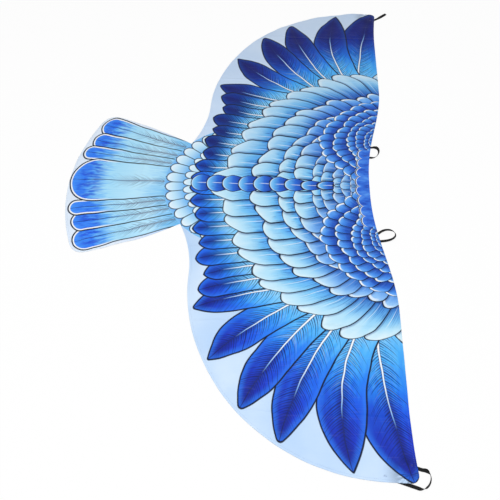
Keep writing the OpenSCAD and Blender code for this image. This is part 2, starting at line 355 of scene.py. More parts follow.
right_half = spaced(right_outline(), EDGE_STEP)
left_half = right_half[-2:0:-1] * (-1, 1)
OUTLINE = np.concatenate([right_half, left_half])
OUTLINE_SIDES = list(zip(OUTLINE, np.roll(OUTLINE, -1, axis=0)))

# Hinge lines of the wings and the tail, and the point of the edge where the cloth is cut above the tail's
FOLD_X = JOINTS["right_wing_flap"]["pos_m"][0] / MM
TAIL_Y = JOINTS["tail_swing"]["pos_m"][1] / MM
above_tail = (right_half[:, 1] > TAIL_Y) & (right_half[:, 1] < TAIL_Y + TAIL_CUT + EDGE_STEP)
side_rows = np.where(above_tail)[0]
CUT_ROW = int(side_rows[np.argmin(abs(right_half[side_rows, 1] - TAIL_Y - TAIL_CUT))])
CUT_HALF, CUT_Y = right_half[CUT_ROW]


def smooth(value, low, high):
    share = np.clip((value - low) / (high - low), 0, 1)
    return share * share * (3 - 2 * share)


def edge_distance(points):
    """Distance of each point from the cloth's edge."""
    best = np.full(len(points), np.inf)
    for start, end in OUTLINE_SIDES:
        run = end - start
        share = np.clip((points - start) @ run / (run @ run), 0, 1)
        gap = points - start - share[:, None] * run
        best = np.minimum(best, np.einsum("ij,ij->i", gap, gap))
    return np.sqrt(best)


def on_cloth(points):
    """Whether each point lies on the cloth: a ray to its right meets the edge an odd number of times."""
    odd = np.zeros(len(points), bool)
    for start, end in OUTLINE_SIDES:
        spans = (start[1] > points[:, 1]) != (end[1] > points[:, 1])
        if spans.any():
            share = (points[spans, 1] - start[1]) / (end[1] - start[1])
            odd[spans] ^= start[0] + share * (end[0] - start[0]) > points[spans, 0]
    return odd


def ripple(points, edge):
    """Soft waves of cloth that lies almost flat, its edge lifted here and there, level across both cuts so
    that the pieces meet. The third coordinate of each noise only picks its pattern."""
    px = np.sign(points[:, 0]) * (np.hypot(points[:, 0], LEVEL_CUT) - LEVEL_CUT)
    rise = points[:, 1] - CUT_Y
    py = np.sign(rise) * (np.hypot(rise, LEVEL_CUT) - LEVEL_CUT)
    from_neck = points[:, 0] ** 2 + points[:, 1] ** 2
    loose = (1 - smooth(edge, 0, FLUTTER_EDGE)) * smooth(from_neck, 0, STILL_NECK ** 2)
    tip_x, tip_y = abs(points[:, 0]) - PUCKER_AT[0], points[:, 1] - PUCKER_AT[1]
    tip_r = np.hypot(tip_x, tip_y)
    folds = np.sin(PUCKER_FOLDS * np.arctan2(tip_y, tip_x) + np.sign(points[:, 0])) + 1
    gathered = smooth(tip_r, *PUCKER_RISE) * (1 - smooth(tip_r, PUCKER_RISE[1], PUCKER_REACH[1]))
    gathered *= smooth(edge, 0, PUCKER_EDGE)
    heights = []
    for x, y, share in zip(px, py, loose):
        broad = noise.noise((x / RIPPLE_RUN[0], y / RIPPLE_RUN[1], 2.3))
        fold = noise.noise((x / CREASE_RUN[0] + CREASE_BEND * broad, y / CREASE_RUN[1], 9.1))
        lift = noise.noise((x / FLUTTER_RUN, y / FLUTTER_RUN, 5.6))
        height = RIPPLE * max(0, RIPPLE_LOW + broad) ** 2 + CREASE * (1 - abs(fold)) ** 3
        heights.append(height + FLUTTER * share * max(0, lift) ** 1.5)
    return np.array(heights) + PUCKER / 2 * folds * gathered


def cloth_heights(points, edge):
    """Top and bottom of the cloth over the floor, in millimetres."""
    wave = ripple(points, edge)
    hem = 1 - smooth(edge, *HEM_END)
    dip = SEAM_DIP * (1 - smooth(abs(edge - SEAM_INSET), *SEAM_DIP_END))
    roll = EDGE_ROLL * (1 - smooth(edge, 0, HEM_TURN))
    top = HEM_TURN + CLOTH_T + wave + HEM_STEP * hem - dip - roll
    bottom = HEM_TURN * (1 - hem) + wave
    return top, bottom


# Meshes

def add_object(name, data):
    obj = bpy.data.objects.new(name, data)
    bpy.context.scene.collection.objects.link(obj)
    return obj


def add_mesh(name, verts, faces, materials, index=None):
    mesh = bpy.data.meshes.new(name)
    mesh.from_pydata([tuple(v) for v in np.asarray(verts, float) * MM], [], [tuple(f) for f in faces])
    for material in materials:
        mesh.materials.append(material)
    if index:
        mesh.polygons.foreach_set("material_index", index)
    mesh.polygons.foreach_set("use_smooth", [True] * len(faces))
    mesh.update()
    return add_object(name, mesh)


def set_uv(obj, name, coords):
    """One UV pair for each vertex."""
    layer = obj.data.uv_layers.new(name=name)
    loop_verts = np.zeros(len(obj.data.loops), int)
    obj.data.loops.foreach_get("vertex_index", loop_verts)
    layer.data.foreach_set("uv", np.asarray(coords, np.float32)[loop_verts].ravel())


def field_points():
    """An even field of points inside the rings along the edge, clear of both cuts."""
    low, high = OUTLINE.min(axis=0), OUTLINE.max(axis=0)
    rise = FIELD_STEP * math.sqrt(3) / 2
    points = np.array([
        (x, low[1] + row * rise) for row in range(int((high[1] - low[1]) / rise) + 1)
        for x in np.arange(low[0] + (row % 2) * FIELD_STEP / 2, high[0], FIELD_STEP)
    ])
    clear_of_cuts = (abs(points[:, 0]) > FIELD_STEP / 2) | (points[:, 1] < CUT_Y)
    clear_of_cuts &= abs(points[:, 1] - CUT_Y) > FIELD_STEP / 2
    points = points[clear_of_cuts]
    points = points[on_cloth(points)]
    return points[edge_distance(points) > RINGS[-1] + FIELD_STEP / 2]


def cloth_plan():
    """Triangles of the whole cloth in plan, cut along the middle and above the tail's hinge."""
    rings = [inset(OUTLINE, d) if d else OUTLINE for d in RINGS]
    middle_ys = np.arange(CUT_Y, -FIELD_STEP, FIELD_STEP)
    middle = np.column_stack([np.zeros_like(middle_ys), middle_ys])
    level_xs = np.arange(FIELD_STEP, CUT_HALF - FIELD_STEP, FIELD_STEP)
    level_xs = np.concatenate([-level_xs[::-1], level_xs])
    level = np.column_stack([level_xs, np.full_like(level_xs, CUT_Y)])
    points = np.concatenate(rings + [field_points(), middle, level])
    count = len(OUTLINE)
    edges = [(k, (k + 1) % count) for k in range(count)]
    level_start = len(points) - len(level)
    middle_start = level_start - len(middle)
    middle_run = [*range(middle_start, level_start), 0]
    level_half = level_start + len(level) // 2
    level_run = [2 * len(right_half) - 2 - CUT_ROW, *range(level_start, level_half), middle_start]
    level_run += [*range(level_half, len(points)), CUT_ROW]
    for run in (middle_run, level_run):
        edges += list(zip(run, run[1:]))
    verts, _, faces, *_ = geometry.delaunay_2d_cdt([Vector(p) for p in points], edges, [], 1, MERGE, False)
    verts, faces = np.array([tuple(v) for v in verts]), np.array([tuple(f) for f in faces])
    return verts, faces[on_cloth(verts[faces].mean(axis=1))]


def plan_areas(points, tris):
    """Area of each triangle, negative where it faces down."""
    (ax, ay), (bx, by) = ((points[tris[:, k]] - points[tris[:, 0]]).T for k in (1, 2))
    return (ax * by - ay * bx) / 2


def piece_of(centres):
    """Which piece of cloth a point belongs to: 0 left, 1 right, 2 tail."""
    return np.where(centres[:, 1] < CUT_Y, 2, np.where(centres[:, 0] > 0, 1, 0))


def shell(name, points, tris, top, bottom, materials):
    """A thin closed sheet with its print on top, sharp along the cuts."""
    used = np.unique(tris)
    order = np.full(len(points), -1)
    order[used] = np.arange(len(used))
    tris = order[tris]
    points, top, bottom = points[used], top[used], bottom[used]
    count = len(used)
    verts = np.concatenate([np.column_stack([points, top]), np.column_stack([points, bottom])])
    sides = np.concatenate([tris[:, (0, 1)], tris[:, (1, 2)], tris[:, (2, 0)]])
    seen = {tuple(s) for s in sides}
    rim = sorted((a, b) for a, b in seen if (b, a) not in seen)
    faces = [tuple(t) for t in tris]
    faces += [tuple(t[::-1] + count) for t in tris]
    faces += [(b, a, a + count, b + count) for a, b in rim]
    index = [0] * len(tris) + [1] * len(tris) + [0] * len(rim)
    at_cut = (abs(points[:, 0]) < TOUCH) & (points[:, 1] > CUT_Y - TOUCH)
    at_cut |= abs(points[:, 1] - CUT_Y) < TOUCH
    at_cut = np.tile(at_cut, 2)
    obj = add_mesh(name, verts, faces, materials, index)
    for edge in obj.data.edges:
        edge.use_edge_sharp = bool(at_cut[list(edge.vertices)].all())
    set_uv(obj, "plan", np.tile(points, (2, 1)))
    return obj


def tube_faces(rings, sides):
    """Faces of a closed tube through rings of points."""
    faces = []
    for k in range(rings - 1):
        for s in range(sides):
            t = (s + 1) % sides
            faces.append((k * sides + s, k * sides + t, (k + 1) * sides + t, (k + 1) * sides + s))
    faces.append(tuple(range(sides))[::-1])
    faces.append(tuple((rings - 1) * sides + s for s in range(sides)))
    return faces


def stitch_shape(length):
    """A short length of thread along x that dips into the cloth at both ends."""
    verts = []
    for k in range(THREAD_RINGS):
        share = k / (THREAD_RINGS - 1) * 2 - 1
        size = math.sqrt(max(THREAD_END, 1 - share ** 4))
        for s in range(THREAD_SIDES):
            angle = 2 * math.pi * s / THREAD_SIDES
            across = THREAD_W / 2 * size * math.cos(angle)
            up = THREAD_H / 2 * size * math.sin(angle) - THREAD_SINK * THREAD_H * share ** 2
            verts.append((share * length / 2, across, up))
    return np.array(verts), tube_faces(THREAD_RINGS, THREAD_SIDES)


def threads(name, centres, directions, heights, length, material):
    """Many stitches of one length as a single piece."""
    shape, shape_faces = stitch_shape(length)
    verts, faces = [], []
    for (x, y), (dx, dy), z in zip(centres, directions, heights):
        base = len(verts)
        verts += [(x + u * dx - v * dy, y + u * dy + v * dx, z + up) for u, v, up in shape]
        faces += [tuple(base + i for i in face) for face in shape_faces]
    obj = add_mesh(name, verts, faces, [material])
    along = np.tile(shape[:, 0], len(heights))
    around = np.tile(np.arctan2(shape[:, 2], shape[:, 1]), len(heights))
    set_uv(obj, "thread", np.stack([along, around], axis=1))
    set_uv(obj, "plan", np.array(verts)[:, :2])
    return obj


# Loops of elastic

def loop_frame(place):
    """Swing line of a loop: its middle, its direction and the way out from the cloth."""
    joint = JOINTS[place + "_loop_swing"]
    middle = np.array(joint["pos_m"][:2]) / MM
    axis = np.array(joint["axis"][:2])
    return middle, axis, np.array((-axis[1], axis[0]))


def loop_line(loop):
    """Middle line of the band in the loop's own frame (along, out, up), each point's share of the free loop,
    and the direction square to the loop's plane."""
    under = BAND_T + STACK_GAP if loop["spread"] == 0 else 0
    first = np.array((-loop["spread"] / 2, LOOP_CLEAR, BAND_Z - under))
    second = np.array((loop["spread"] / 2, LOOP_CLEAR, BAND_Z))
    handle = (loop["reach"] - LOOP_CLEAR) / HANDLE_SHARE
    bend_a = first + (-loop["splay"], handle * (1 - loop["skew"]), loop["lifts"][0])
    bend_b = second + (loop["splay"], handle * (1 + loop["skew"]), loop["lifts"][1])
    rise = np.cross(bend_b - bend_a, bend_a + bend_b - first - second)
    tabs = []
    for start, end in zip(loop["starts"], (first, second)):
        outs = np.linspace(-start, 0, int(start / TAB_STEP))[:-1]
        tabs.append([np.array((end[0], v, end[2])) for v in outs])
    shares = np.linspace(0, 1, LOOP_STEPS + 1)
    curve = []
    for t in shares:
        weights = ((1 - t) ** 3, 3 * t * (1 - t) ** 2, 3 * t * t * (1 - t), t ** 3)
        curve.append(sum(w * p for w, p in zip(weights, (first, bend_a, bend_b, second))))
    line = np.array(tabs[0] + curve + tabs[1][::-1])
    shares = np.concatenate([np.zeros(len(tabs[0])), shares, np.ones(len(tabs[1]))])
    for _ in range(SOFTEN_PASSES):
        soft = line.copy()
        soft[1:-1] = (line[:-2] + 2 * line[1:-1] + line[2:]) / 4
        for join in (len(tabs[0]), len(line) - len(tabs[1]) - 1):
            span = slice(join - SOFTEN_SPAN, join + SOFTEN_SPAN + 1)
            line[span] = soft[span]
    return line, shares, rise / np.linalg.norm(rise)


def lean_at(t, free, turns):
    """Lean of the band in degrees, from its outward side up: flat where sewn, as on each strand between."""
    if t < TURN_SHARE:
        return turns[0] * free
    if t > 1 - TURN_SHARE:
        return turns[2] + (turns[1] - turns[2]) * free
    return turns[0] + (turns[1] - turns[0]) * (t - TURN_SHARE) / (1 - 2 * TURN_SHARE)


def band_section():
    """Outline of the ribbed band: (across, through)."""
    steps = BAND_RIBS * RIB_STEPS
    section = []
    for side in (1, -1):
        for k in range(steps + 1):
            across = -BAND_W / 2 + BAND_W * k / steps
            rib = RIB_DEPTH * (1 - math.cos(2 * math.pi * BAND_RIBS * k / steps)) / 2
            edge = SELVEDGE * BAND_T * (abs(across) / (BAND_W / 2)) ** SELVEDGE_POWER
            section.append((side * across, side * (BAND_T / 2 - RIB_DEPTH + rib - edge)))
    return np.array(section)


def elastic_band(place, loop, material):
    """One woven band from its first sewn end through the loop to its second."""
    middle, axis, out = loop_frame(place)
    line, shares, rise = loop_line(loop)
    section = band_section()
    tangents = unit(np.gradient(line, axis=0))
    verts, coords = [], []
    for point, tangent, t, run in zip(line, tangents, shares, run_along(line)):
        flat = np.array((-1.0 if t < 0.5 else 1.0, 0.0, 0.0))
        free = float(smooth(min(t, 1 - t), 0, TURN_SHARE))
        outward = (1 - free) * flat + free * np.cross(rise, tangent)
        outward -= (outward @ tangent) * tangent
        outward /= np.linalg.norm(outward)
        lean = math.radians(lean_at(t, free, loop["turns"]))
        wide = math.cos(lean) * outward + math.sin(lean) * np.cross(tangent, outward)
        thin = np.cross(tangent, wide)
        full = 1 + LOOP_SWELL * free
        for across, through in section:
            u, v, z = point + wide * across + thin * (through * full)
            x, y = middle + axis * u + out * v
            verts.append((x, y, z))
            coords.append((run, across))
    faces = [face[::-1] for face in tube_faces(len(line), len(section))]
    obj = add_mesh(place + "_elastic", verts, faces, [material])
    set_uv(obj, "band", coords)
    return obj


def bar_tacks(place, loop, material):
    """Close rows of stitches through the cloth over the sewn ends, or over both at once in a folded loop."""
    middle, axis, out = loop_frame(place)
    centres, directions = [], []
    for side, start in zip((-1, 1) if loop["spread"] else (-1,), loop["starts"]):
        for row in range(TACK_ROWS):
            v = -start + TACK_MARGIN + TACK_RUN * row / (TACK_ROWS - 1)
            lean = TACK_LEAN if row % 2 else -TACK_LEAN
            centres.append(middle + axis * (side * loop["spread"] / 2) + out * v)
            directions.append(axis * math.cos(lean) + out * math.sin(lean))
    centres = np.array(centres)
    tops, _ = cloth_heights(centres, edge_distance(centres))
    return threads(place + "_tacks", centres, directions, tops, TACK_W, material)


# Arithmetic in shader nodes

class Field:
    """A value over a surface, held by a node's output; arithmetic on it adds nodes to the tree."""

    tree = None

    def __init__(self, node, output=0):
        self.socket = node.outputs[output]

    def __add__(self, other):
        return calc("ADD", self, other)

    def __sub__(self, other):
        return calc("SUBTRACT", self, other)

    def __rsub__(self, other):
        return calc("SUBTRACT", other, self)

    def __mul__(self, other):
        return calc("MULTIPLY", self, other)

    def __truediv__(self, other):
        return calc("DIVIDE", self, other)

    def __abs__(self):
        return calc("ABSOLUTE", self)

    __radd__ = __add__
    __rmul__ = __mul__


def feed(socket, value):
    if isinstance(value, Field):
        Field.tree.links.new(value.socket, socket)
    else:
        socket.default_value = value


def set_inputs(node, **values):
    """Inputs of a node by name, with _ for a space."""
    for name, value in values.items():
        feed(node.inputs[name.replace("_", " ")], value)


def add_node(kind, *values, **named):
    """A node with its first inputs in their order and others by name."""
    node = Field.tree.nodes.new("ShaderNode" + kind)
    for socket, value in zip(node.inputs, values):
        feed(socket, value)
    set_inputs(node, **named)
    return node


def calc(operation, *values):
    node = add_node("Math", *values)
    node.operation = operation
    return Field(node)


def lowest(a, b):
    return calc("MINIMUM", a, b)


def highest(a, b):
    return calc("MAXIMUM", a, b)


def below(a, b):
    """1 where a is less than b, 0 elsewhere."""
    return calc("LESS_THAN", a, b)


def fraction(a):
    return calc("FRACT", a)


def whole(a):
    return calc("FLOOR", a)


def hypot(a, b):
    return calc("SQRT", a * a + b * b)


def sine(value, pitch):
    return calc("SINE", value * (2 * math.pi / pitch))


def ease(value, low, high):
    """0 up to low, 1 from high on, smooth between."""
    node = add_node("MapRange", value, low, high)
    node.interpolation_type = "SMOOTHSTEP"
    return Field(node)


def fade(value, low, high):
    """1 up to low, 0 from high on, smooth between."""
    return 1 - ease(value, low, high)


def pick(off, on, mask):
    node = add_node("Mix")
    for number, value in ((0, mask), (2, off), (3, on)):
        feed(node.inputs[number], value)
    return Field(node)


def tint(off, on, amount):
    """Colour off with colour on laid over it."""
    node = add_node("Mix")
    node.data_type = "RGBA"
    for number, value in ((0, amount), (6, off), (7, on)):
        feed(node.inputs[number], ink(value) if isinstance(value, str) else value)
    return Field(node, 2)


def ink(code):
    """Linear colour of a six-digit sRGB code."""
    parts = [int(code[k:k + 2], 16) / 255 for k in (0, 2, 4)]
    return [p / 12.92 if p <= 0.04045 else ((p + 0.055) / 1.055) ** 2.4 for p in parts] + [1]


def ramp(value, inks):
    """Colour that runs through the inks."""
    node = add_node("ValToRGB", value)
    elements = node.color_ramp.elements
    while len(elements) < len(inks):
        elements.new(1)
    for element, (place, code) in zip(elements, inks.items()):
        element.position = place
        element.color = ink(code)
    return Field(node)


def grain(x, y, pattern, detail=2):
    """Soft random value, about 0.5 in the mean, that changes over a distance of about 1."""
    place = add_node("CombineXYZ", x, y, pattern)
    return Field(add_node("TexNoise", Field(place), Scale=1, Detail=detail))


def centred(value, width):
    """A value from 0 to 1 made to lie about 0, over a range of width."""
    return (value - 0.5) * width


def uv_fields(name):
    """Both coordinates of a UV map."""
    node = add_node("UVMap")
    node.uv_map = name
    split = add_node("SeparateXYZ", Field(node))
    return Field(split), Field(split, 1)


# Print: feathers drawn by arithmetic on the plan of the cloth

def feather(x, y, base, tip, half_w, taper, bow, blunt):
    """One feather's own coordinates: share of its length, distance along, across, and inwards from its edge.
    Two arcs meet at its tip, rounded by blunt; the tip is half an ellipse if taper is less than half_w."""
    length = math.dist(base, tip)
    ex, ey = ((b - a) / length for a, b in zip(base, tip))
    dx, dy = x - base[0], y - base[1]
    along = dx * ex + dy * ey
    share = along / length
    across = dy * ex - dx * ey - share * (1 - share) * (4 * bow)
    arc = (max(taper, half_w) ** 2 + half_w ** 2) / (2 * half_w)
    past = highest(along - (length - taper), 0) * max(1, half_w / taper)
    upper = arc - hypot(past, across + (arc - half_w))
    lower = arc - hypot(past, (arc - half_w) - across)
    if blunt == 0:
        return share, along, across, lowest(upper, lower)
    rounded = hypot(highest(blunt - upper, 0), highest(blunt - lower, 0))
    return share, along, across, highest(lowest(upper, lower), blunt) - rounded


def lay(x, y, plumes, line_w):
    """Feathers laid over each other in order: coordinates of the top one with a number of its own, where any
    is, and the outlines."""
    top = [0] * 5
    cover = line = 0
    for number, plume in enumerate(plumes):
        own = feather(x, y, *plume)
        inside = below(0, own[3])
        seed = number * 0.37 % 1
        top = [pick(old, new, inside) for old, new in zip(top, own + (seed,))]
        stroke = fade(abs(own[3]), 0.25 * line_w, 0.75 * line_w)
        line = highest((1 - inside) * line, stroke)
        cover = highest(inside, cover)
    return top, cover, line


def shingles(rows, here, under, half_w, tip, lap):
    """Overlapping rounded feathers. rows counts inwards from the tips, here and under run from -1 to 1 across
    a feather of the row and of the row that it lies on, and lap is its reach over its neighbour. Gives the
    place across the top feather and down from its tip, the distances inwards from its edge and outwards from
    the edge over it, and its row."""
    wide = 1 + lap
    depth = fraction(rows)
    blunt = lowest(depth - tip, 0) / tip
    own_end = hypot(here / wide, blunt)
    next_end = hypot((here + 2) / wide, blunt)
    in_next = below(next_end, 1)
    inside = highest(in_next, below(own_end, 1))
    lower = pick(under, under + 2, below(under, wide - 2))
    across = pick(lower, pick(here, here + 2, in_next), inside)
    deep = pick(depth + 1, depth, inside)
    end = pick(abs(lower) / wide, pick(own_end, next_end, in_next), inside)
    rim = (1 - end) * half_w * wide
    over = pick(lowest(own_end, next_end), next_end, inside)
    shade = (over - 1) * half_w * wide + in_next * 100
    return across, deep, rim, shade, whole(rows) + inside


def staggered(rows, turn):
    """Every second row moved on by half a feather: the count along the row, and the place from -1 to 1 across
    a feather of the row and of the row that it lies on."""
    odd = fraction(whole(rows) / 2) * 2
    here, under = turn + odd * 0.5, turn + (1 - odd) * 0.5
    return here, fraction(here) * 2 - 1, fraction(under) * 2 - 1


def in_rows(rows, deep):
    """1 from the tips of the first row inwards."""
    return highest(below(1, rows), below(0, rows) * below(deep, 1))


def plume_base(number):
    """Base of a flight feather on their arc."""
    angle = math.radians(PLUME_START + PLUME_STEP * number)
    return PLUME_R * math.cos(angle), PLUME_Y - PLUME_R * math.sin(angle)


def flight_plumes():
    """The leading feather, primaries inwards from it, then secondaries to the middle."""
    plumes = [LEAD_PLUME]
    for k, (turn, bow, blunt, half_w) in enumerate(PRIMARIES):
        spread = math.radians(turn)
        reach = PRIMARY_REACH + blunt * 0.4
        tip = (TRAIL_X + reach * math.cos(spread), -(reach - PRIMARY_RISE) * math.sin(spread))
        taper = PRIMARY_TAPER[0] - PRIMARY_TAPER[1] * k
        plumes.append((plume_base(k), tip, half_w, taper, bow, blunt))
    (first_x, first_y), (last_x, last_y) = SECONDARY_ENDS
    for k, (rise, half_w) in enumerate(SECONDARIES):
        step = k / (len(SECONDARIES) - 1)
        tip = (first_x + (last_x - first_x) * step, first_y + (last_y - first_y) * step + rise)
        base = plume_base(len(PRIMARIES) + k)
        plumes.append((base, tip, half_w, SECONDARY_TAPER, SECONDARY_BOW, 0))
    return plumes


def tail_fan(x, y):
    """Coordinates in which the tail's feathers lie side by side and its end is straight."""
    spread = calc("DIVIDE", tail_end_y(0) - TAIL_FAN_Y, y - TAIL_FAN_Y)
    return x * spread, y - x * x * (TAIL_END_SAG / TAIL_HALF ** 2)


def tail_plumes():
    """Side feathers of the tail from the outside in, then the broad middle one, before they fan out."""
    plumes = []
    for middle, half_w, margin in TAIL_FEATHERS:
        tip = (middle, tail_end_y(0) + margin)
        plumes.append(((middle, TAIL_ROOT_Y), tip, half_w, TAIL_TAPER * half_w, 0, 0))
    return plumes


def vane_marks(colour, plume, reach, barbs_end, quill):
    """Barbs as fine strokes of uneven length that leave the shaft and curve to the tip, up to a share of the
    feather's length, and the shaft, whose whiteness is quill."""
    share, along, across, _, seed = plume
    off = abs(across)
    slant = along - off * 0.6 - across * across * 0.016
    side = below(across, 0) * 7.3
    place = slant / BARB_STEP + centred(grain(slant / 11, side, seed * 40, 1), 1.6)
    barb = reach * (ease(grain(whole(place) * 0.73, side, seed * 19, 0), 0.3, 0.7) * 0.8 + 0.3)
    thin = 1.5 - off / barb * 0.9
    stroke = fade(abs(fraction(place) - 0.5) * BARB_STEP, thin * 0.3, thin)
    drawn = fade(off, barb * 0.75, barb) * fade(share, barbs_end - 0.3, barbs_end)
    colour = tint(colour, BARB_INK, stroke * drawn * 0.85)
    pale = grain(slant * 0.5 + 60, off * 0.03, seed * 31, 1)
    lit = fade(off, reach * 0.3, reach) * fade(share, 0.35, 0.6)
    colour = tint(colour, "CFEFFF", ease(pale, 0.56, 0.66) * lit * 0.2)
    shaft_w = 1.9 - share * 1.5
    shaft = fade(off, shaft_w * 0.6, shaft_w * 1.2) * fade(share, 0.9, 0.97)
    colour = tint(colour, BARB_INK, fade(off, shaft_w * 1.2, shaft_w * 2) * 0.7)
    return tint(colour, ramp(share, SHAFT_INKS), shaft * quill)


def fan_rows(x, y, centre, squeeze, reach, ratio, crowding, columns, slant, tip):
    """Rows of overlapping feathers that fan out from a centre and grow with the distance from it. Gives the
    coordinates of the top feather, a number of its own, half its width, and where the rows are."""
    dx, dy = x - centre[0], (y - centre[1]) * squeeze
    radius = hypot(dx, dy)
    rows = calc("LOGARITHM", calc("DIVIDE", reach, radius), 1 / ratio)
    rows = rows * calc("POWER", abs(rows), crowding)
    sweep = calc("ARCTAN2", dx, 0 - dy) / (math.pi / 2)
    lean = ease(sweep, 0, 0.6) * (1 - ease(sweep, 0.7, 1.05) * 0.5)
    turn = sweep * columns + rows / (rows / 3 + 1) * lean * slant
    rows = rows + centred(grain(turn * 0.6, rows * 0.9, 3.3, 0), 0.7)
    turn, here, under = staggered(rows, turn)
    half_w = radius * (math.pi / 4 / columns)
    across, deep, rim, shade, row = shingles(rows, here, under, half_w, tip, SCALE_LAP)
    number = whole(turn) * 0.17 + row * 0.41
    return across, deep, rim, shade, number, half_w, in_rows(rows, deep)


def paint_scales(scales, dark, widest_line):
    """Colour of body feathers, from pale to dark blue, and where they are."""
    across, deep, rim, shade, number, half_w, present = scales
    depth = deep / 2 + centred(grain(across * half_w / 14, deep * 2.2, number * 7), 0.2)
    colour = tint(ramp(depth, PALE_INKS), ramp(depth, DARK_INKS), dark)
    comb = grain(across * half_w / 1.5, deep * 1.6, number * 23, 1)
    colour = tint(colour, COMB_INK, ease(comb, 0.56, 0.63) * ease(deep, 0.25, 1) * 0.65)
    quill = fade(abs(across) * half_w, 0.35, 0.9) * ease(deep, 0.3, 0.6) * fade(deep, 0.9, 1.5)
    colour = tint(colour, QUILL_INK, quill * (0.6 - dark * 0.6))
    colour = tint(colour, "12287A", fade(shade, 0.5, 7) * 0.55)
    line_w = lowest(half_w * 0.16, widest_line)
    rim_light = fade(rim, line_w * 1.9, line_w * 3) * fade(deep, 0.6, 1) * fade(across, 0, 0.8)
    colour = tint(colour, "F2F9FF", rim_light * (dark * 0.85 + 0.15))
    strokes = highest(fade(rim, line_w * 0.4, line_w), fade(shade, line_w * 0.1, line_w * 0.6))
    return tint(colour, OUTLINE_INK, strokes), present


def paint_tail(colour, x, y, cloud):
    """Pale tail feathers with blue, white-rimmed ends."""
    plume, cover, line = lay(*tail_fan(x, y), tail_plumes(), TAIL_LINE_W)
    share, along, across, inwards, seed = plume
    tone = share + centred(cloud, 0.3) + centred(grain(along / 26, across / 5, seed * 9), 0.35)
    patch = ease(grain(along / 22, across / 9, seed * 5), 0.44, 0.6)
    patch = patch * ease(share, 0.7, 0.84) * fade(share, 0.88, 0.97)
    tail = tint(ramp(tone, TAIL_INKS), "1E42CE", patch * 0.7)
    tail = vane_marks(tail, plume, 26, 0.75, 0.25)
    tail = tint(tail, "F7FCFF", fade(inwards, 4.4, 6) * ease(share, 0.6, 0.8))
    return tint(tint(colour, tail, cover), OUTLINE_INK, line)


def paint_rump(colour, x, y):
    """Two rows of small pale feathers over the root of the tail."""
    dy = y - RUMP_Y
    radius = hypot(x, dy)
    rows = (RUMP_R - radius) / RUMP_ROW
    turn = calc("ARCTAN2", x, 0 - dy) * (180 / math.pi / RUMP_TURN)
    _, here, under = staggered(rows, turn)
    _, deep, rim, shade, _ = shingles(rows, here, under, RUMP_HALF_W, RUMP_TIP, 0)
    strokes = highest(fade(rim, 0.5, 1.6), fade(shade, 0.3, 1.2))
    rump = tint(ramp(deep / 2, RUMP_INKS), OUTLINE_INK, strokes)
    return tint(colour, rump, below(y, -250) * below(radius, RUMP_R + 2))


def paint_flight(colour, x, y, cloud, left):
    """Flight feathers, darker to their tips, and darker on the left wing by painted shade."""
    plume, cover, line = lay(x, y, flight_plumes(), FLIGHT_LINE_W)
    share, along, across, inwards, seed = plume
    tone = share + centred(cloud, 0.25) + centred(grain(along / 30, across / 7, seed * 13), 0.25)
    flight = ramp(tone - fade(x, 225, 330) * 0.27, FLIGHT_INKS)
    flight = tint(flight, "142E9A", ease(0 - across, 2, 16) * ease(share, 0.3, 0.7) * 0.35)
    flight = tint(flight, "2E7CF4", fade(inwards, 2, 14) * ease(share, 0.2, 0.5) * 0.6)
    by_shaft = fade(abs(across), 2, 13) * ease(share, 0.35, 0.6) * fade(share, 0.85, 1)
    flight = tint(flight, "101C74", by_shaft * 0.6)
    # Painted shade: flight feathers darker on the left wing
    flight = tint(flight, "0C0E56", left * ease(share, 0.25, 0.75) * 0.75)
    flight = vane_marks(flight, plume, 34, 1, 1)
    return tint(tint(colour, flight, cover), OUTLINE_INK, line)


def paint_coverts(colour, x, y, cloud, left):
    """Coverts, darker about the shoulder, darker on the left wing by painted shade, and the small dark ones
    over them.
    """
    shoulder = hypot((x - 140) / 165, (y - 20) / 150)
    # Painted shade: coverts darker on the left wing
    dark = fade(shoulder + centred(cloud, 0.5), 0.75, 1.15) * 0.7 + left * 0.15
    colour = tint(colour, *paint_scales(fan_rows(x, y, **COVERTS), dark, COVERT_LINE_W))
    return tint(colour, *paint_scales(fan_rows(x, y, **LESSER), LESSER_DARK, LESSER_LINE_W))


def paint_collar(colour, x, y):
    """Collar along the neck with a scalloped, white-rimmed edge."""
    lobe = fraction(x / COLLAR_LOBE) * 2 - 1
    inwards = y + 20 + calc("SQRT", highest(1 - lobe * lobe, 0)) * 9 - x * 0.1
    collar = ramp(grain(x / 9, y / 26, 6.6), COLLAR_INKS)
    collar = tint(collar, RIM_INK, fade(inwards, 1.8, 3))
    collar = tint(collar, OUTLINE_INK, fade(abs(inwards), 0.5, 1.4))
    return tint(colour, collar, below(-1.4, inwards) * below(x, COLLAR_END))


def paint_spine(colour, x, y):
    """One row of small feathers down the middle of the back, wider towards the tail."""
    rows = (y - SPINE_Y) / SPINE_ROW
    half_w = (1 + fade(y, -220, -60)) * SPINE_HALF_W
    reach = x / half_w
    _, deep, rim, shade, row = shingles(rows, reach, reach, half_w, SPINE_TIP, 0)
    flank = (1 - ease(deep, 0.6, 1.6) * 0.3 - reach) * half_w
    rim = lowest(rim, flank)
    comb = grain(x / 1.6, deep * 1.8, row * 3.7, 1)
    spine = ramp(deep / 2, SPINE_INKS)
    spine = tint(spine, COMB_INK, ease(comb, 0.55, 0.63) * ease(deep, 0.2, 0.8) * 0.6)
    quill = fade(x, 0.5, 1.1) * ease(deep, 0.3, 0.6) * fade(deep, 0.9, 1.3)
    spine = tint(spine, QUILL_INK, quill * 0.6)
    spine = tint(spine, RIM_INK, fade(rim, 2.4, 3.6) * fade(deep, 0.25, 0.6) * 0.6)
    spine = tint(spine, OUTLINE_INK, highest(fade(rim, 1, 2.3), fade(shade, 0.2, 1.4)))
    return tint(colour, spine, below(0, flank) * below(y, SPINE_TOP) * in_rows(rows, deep))


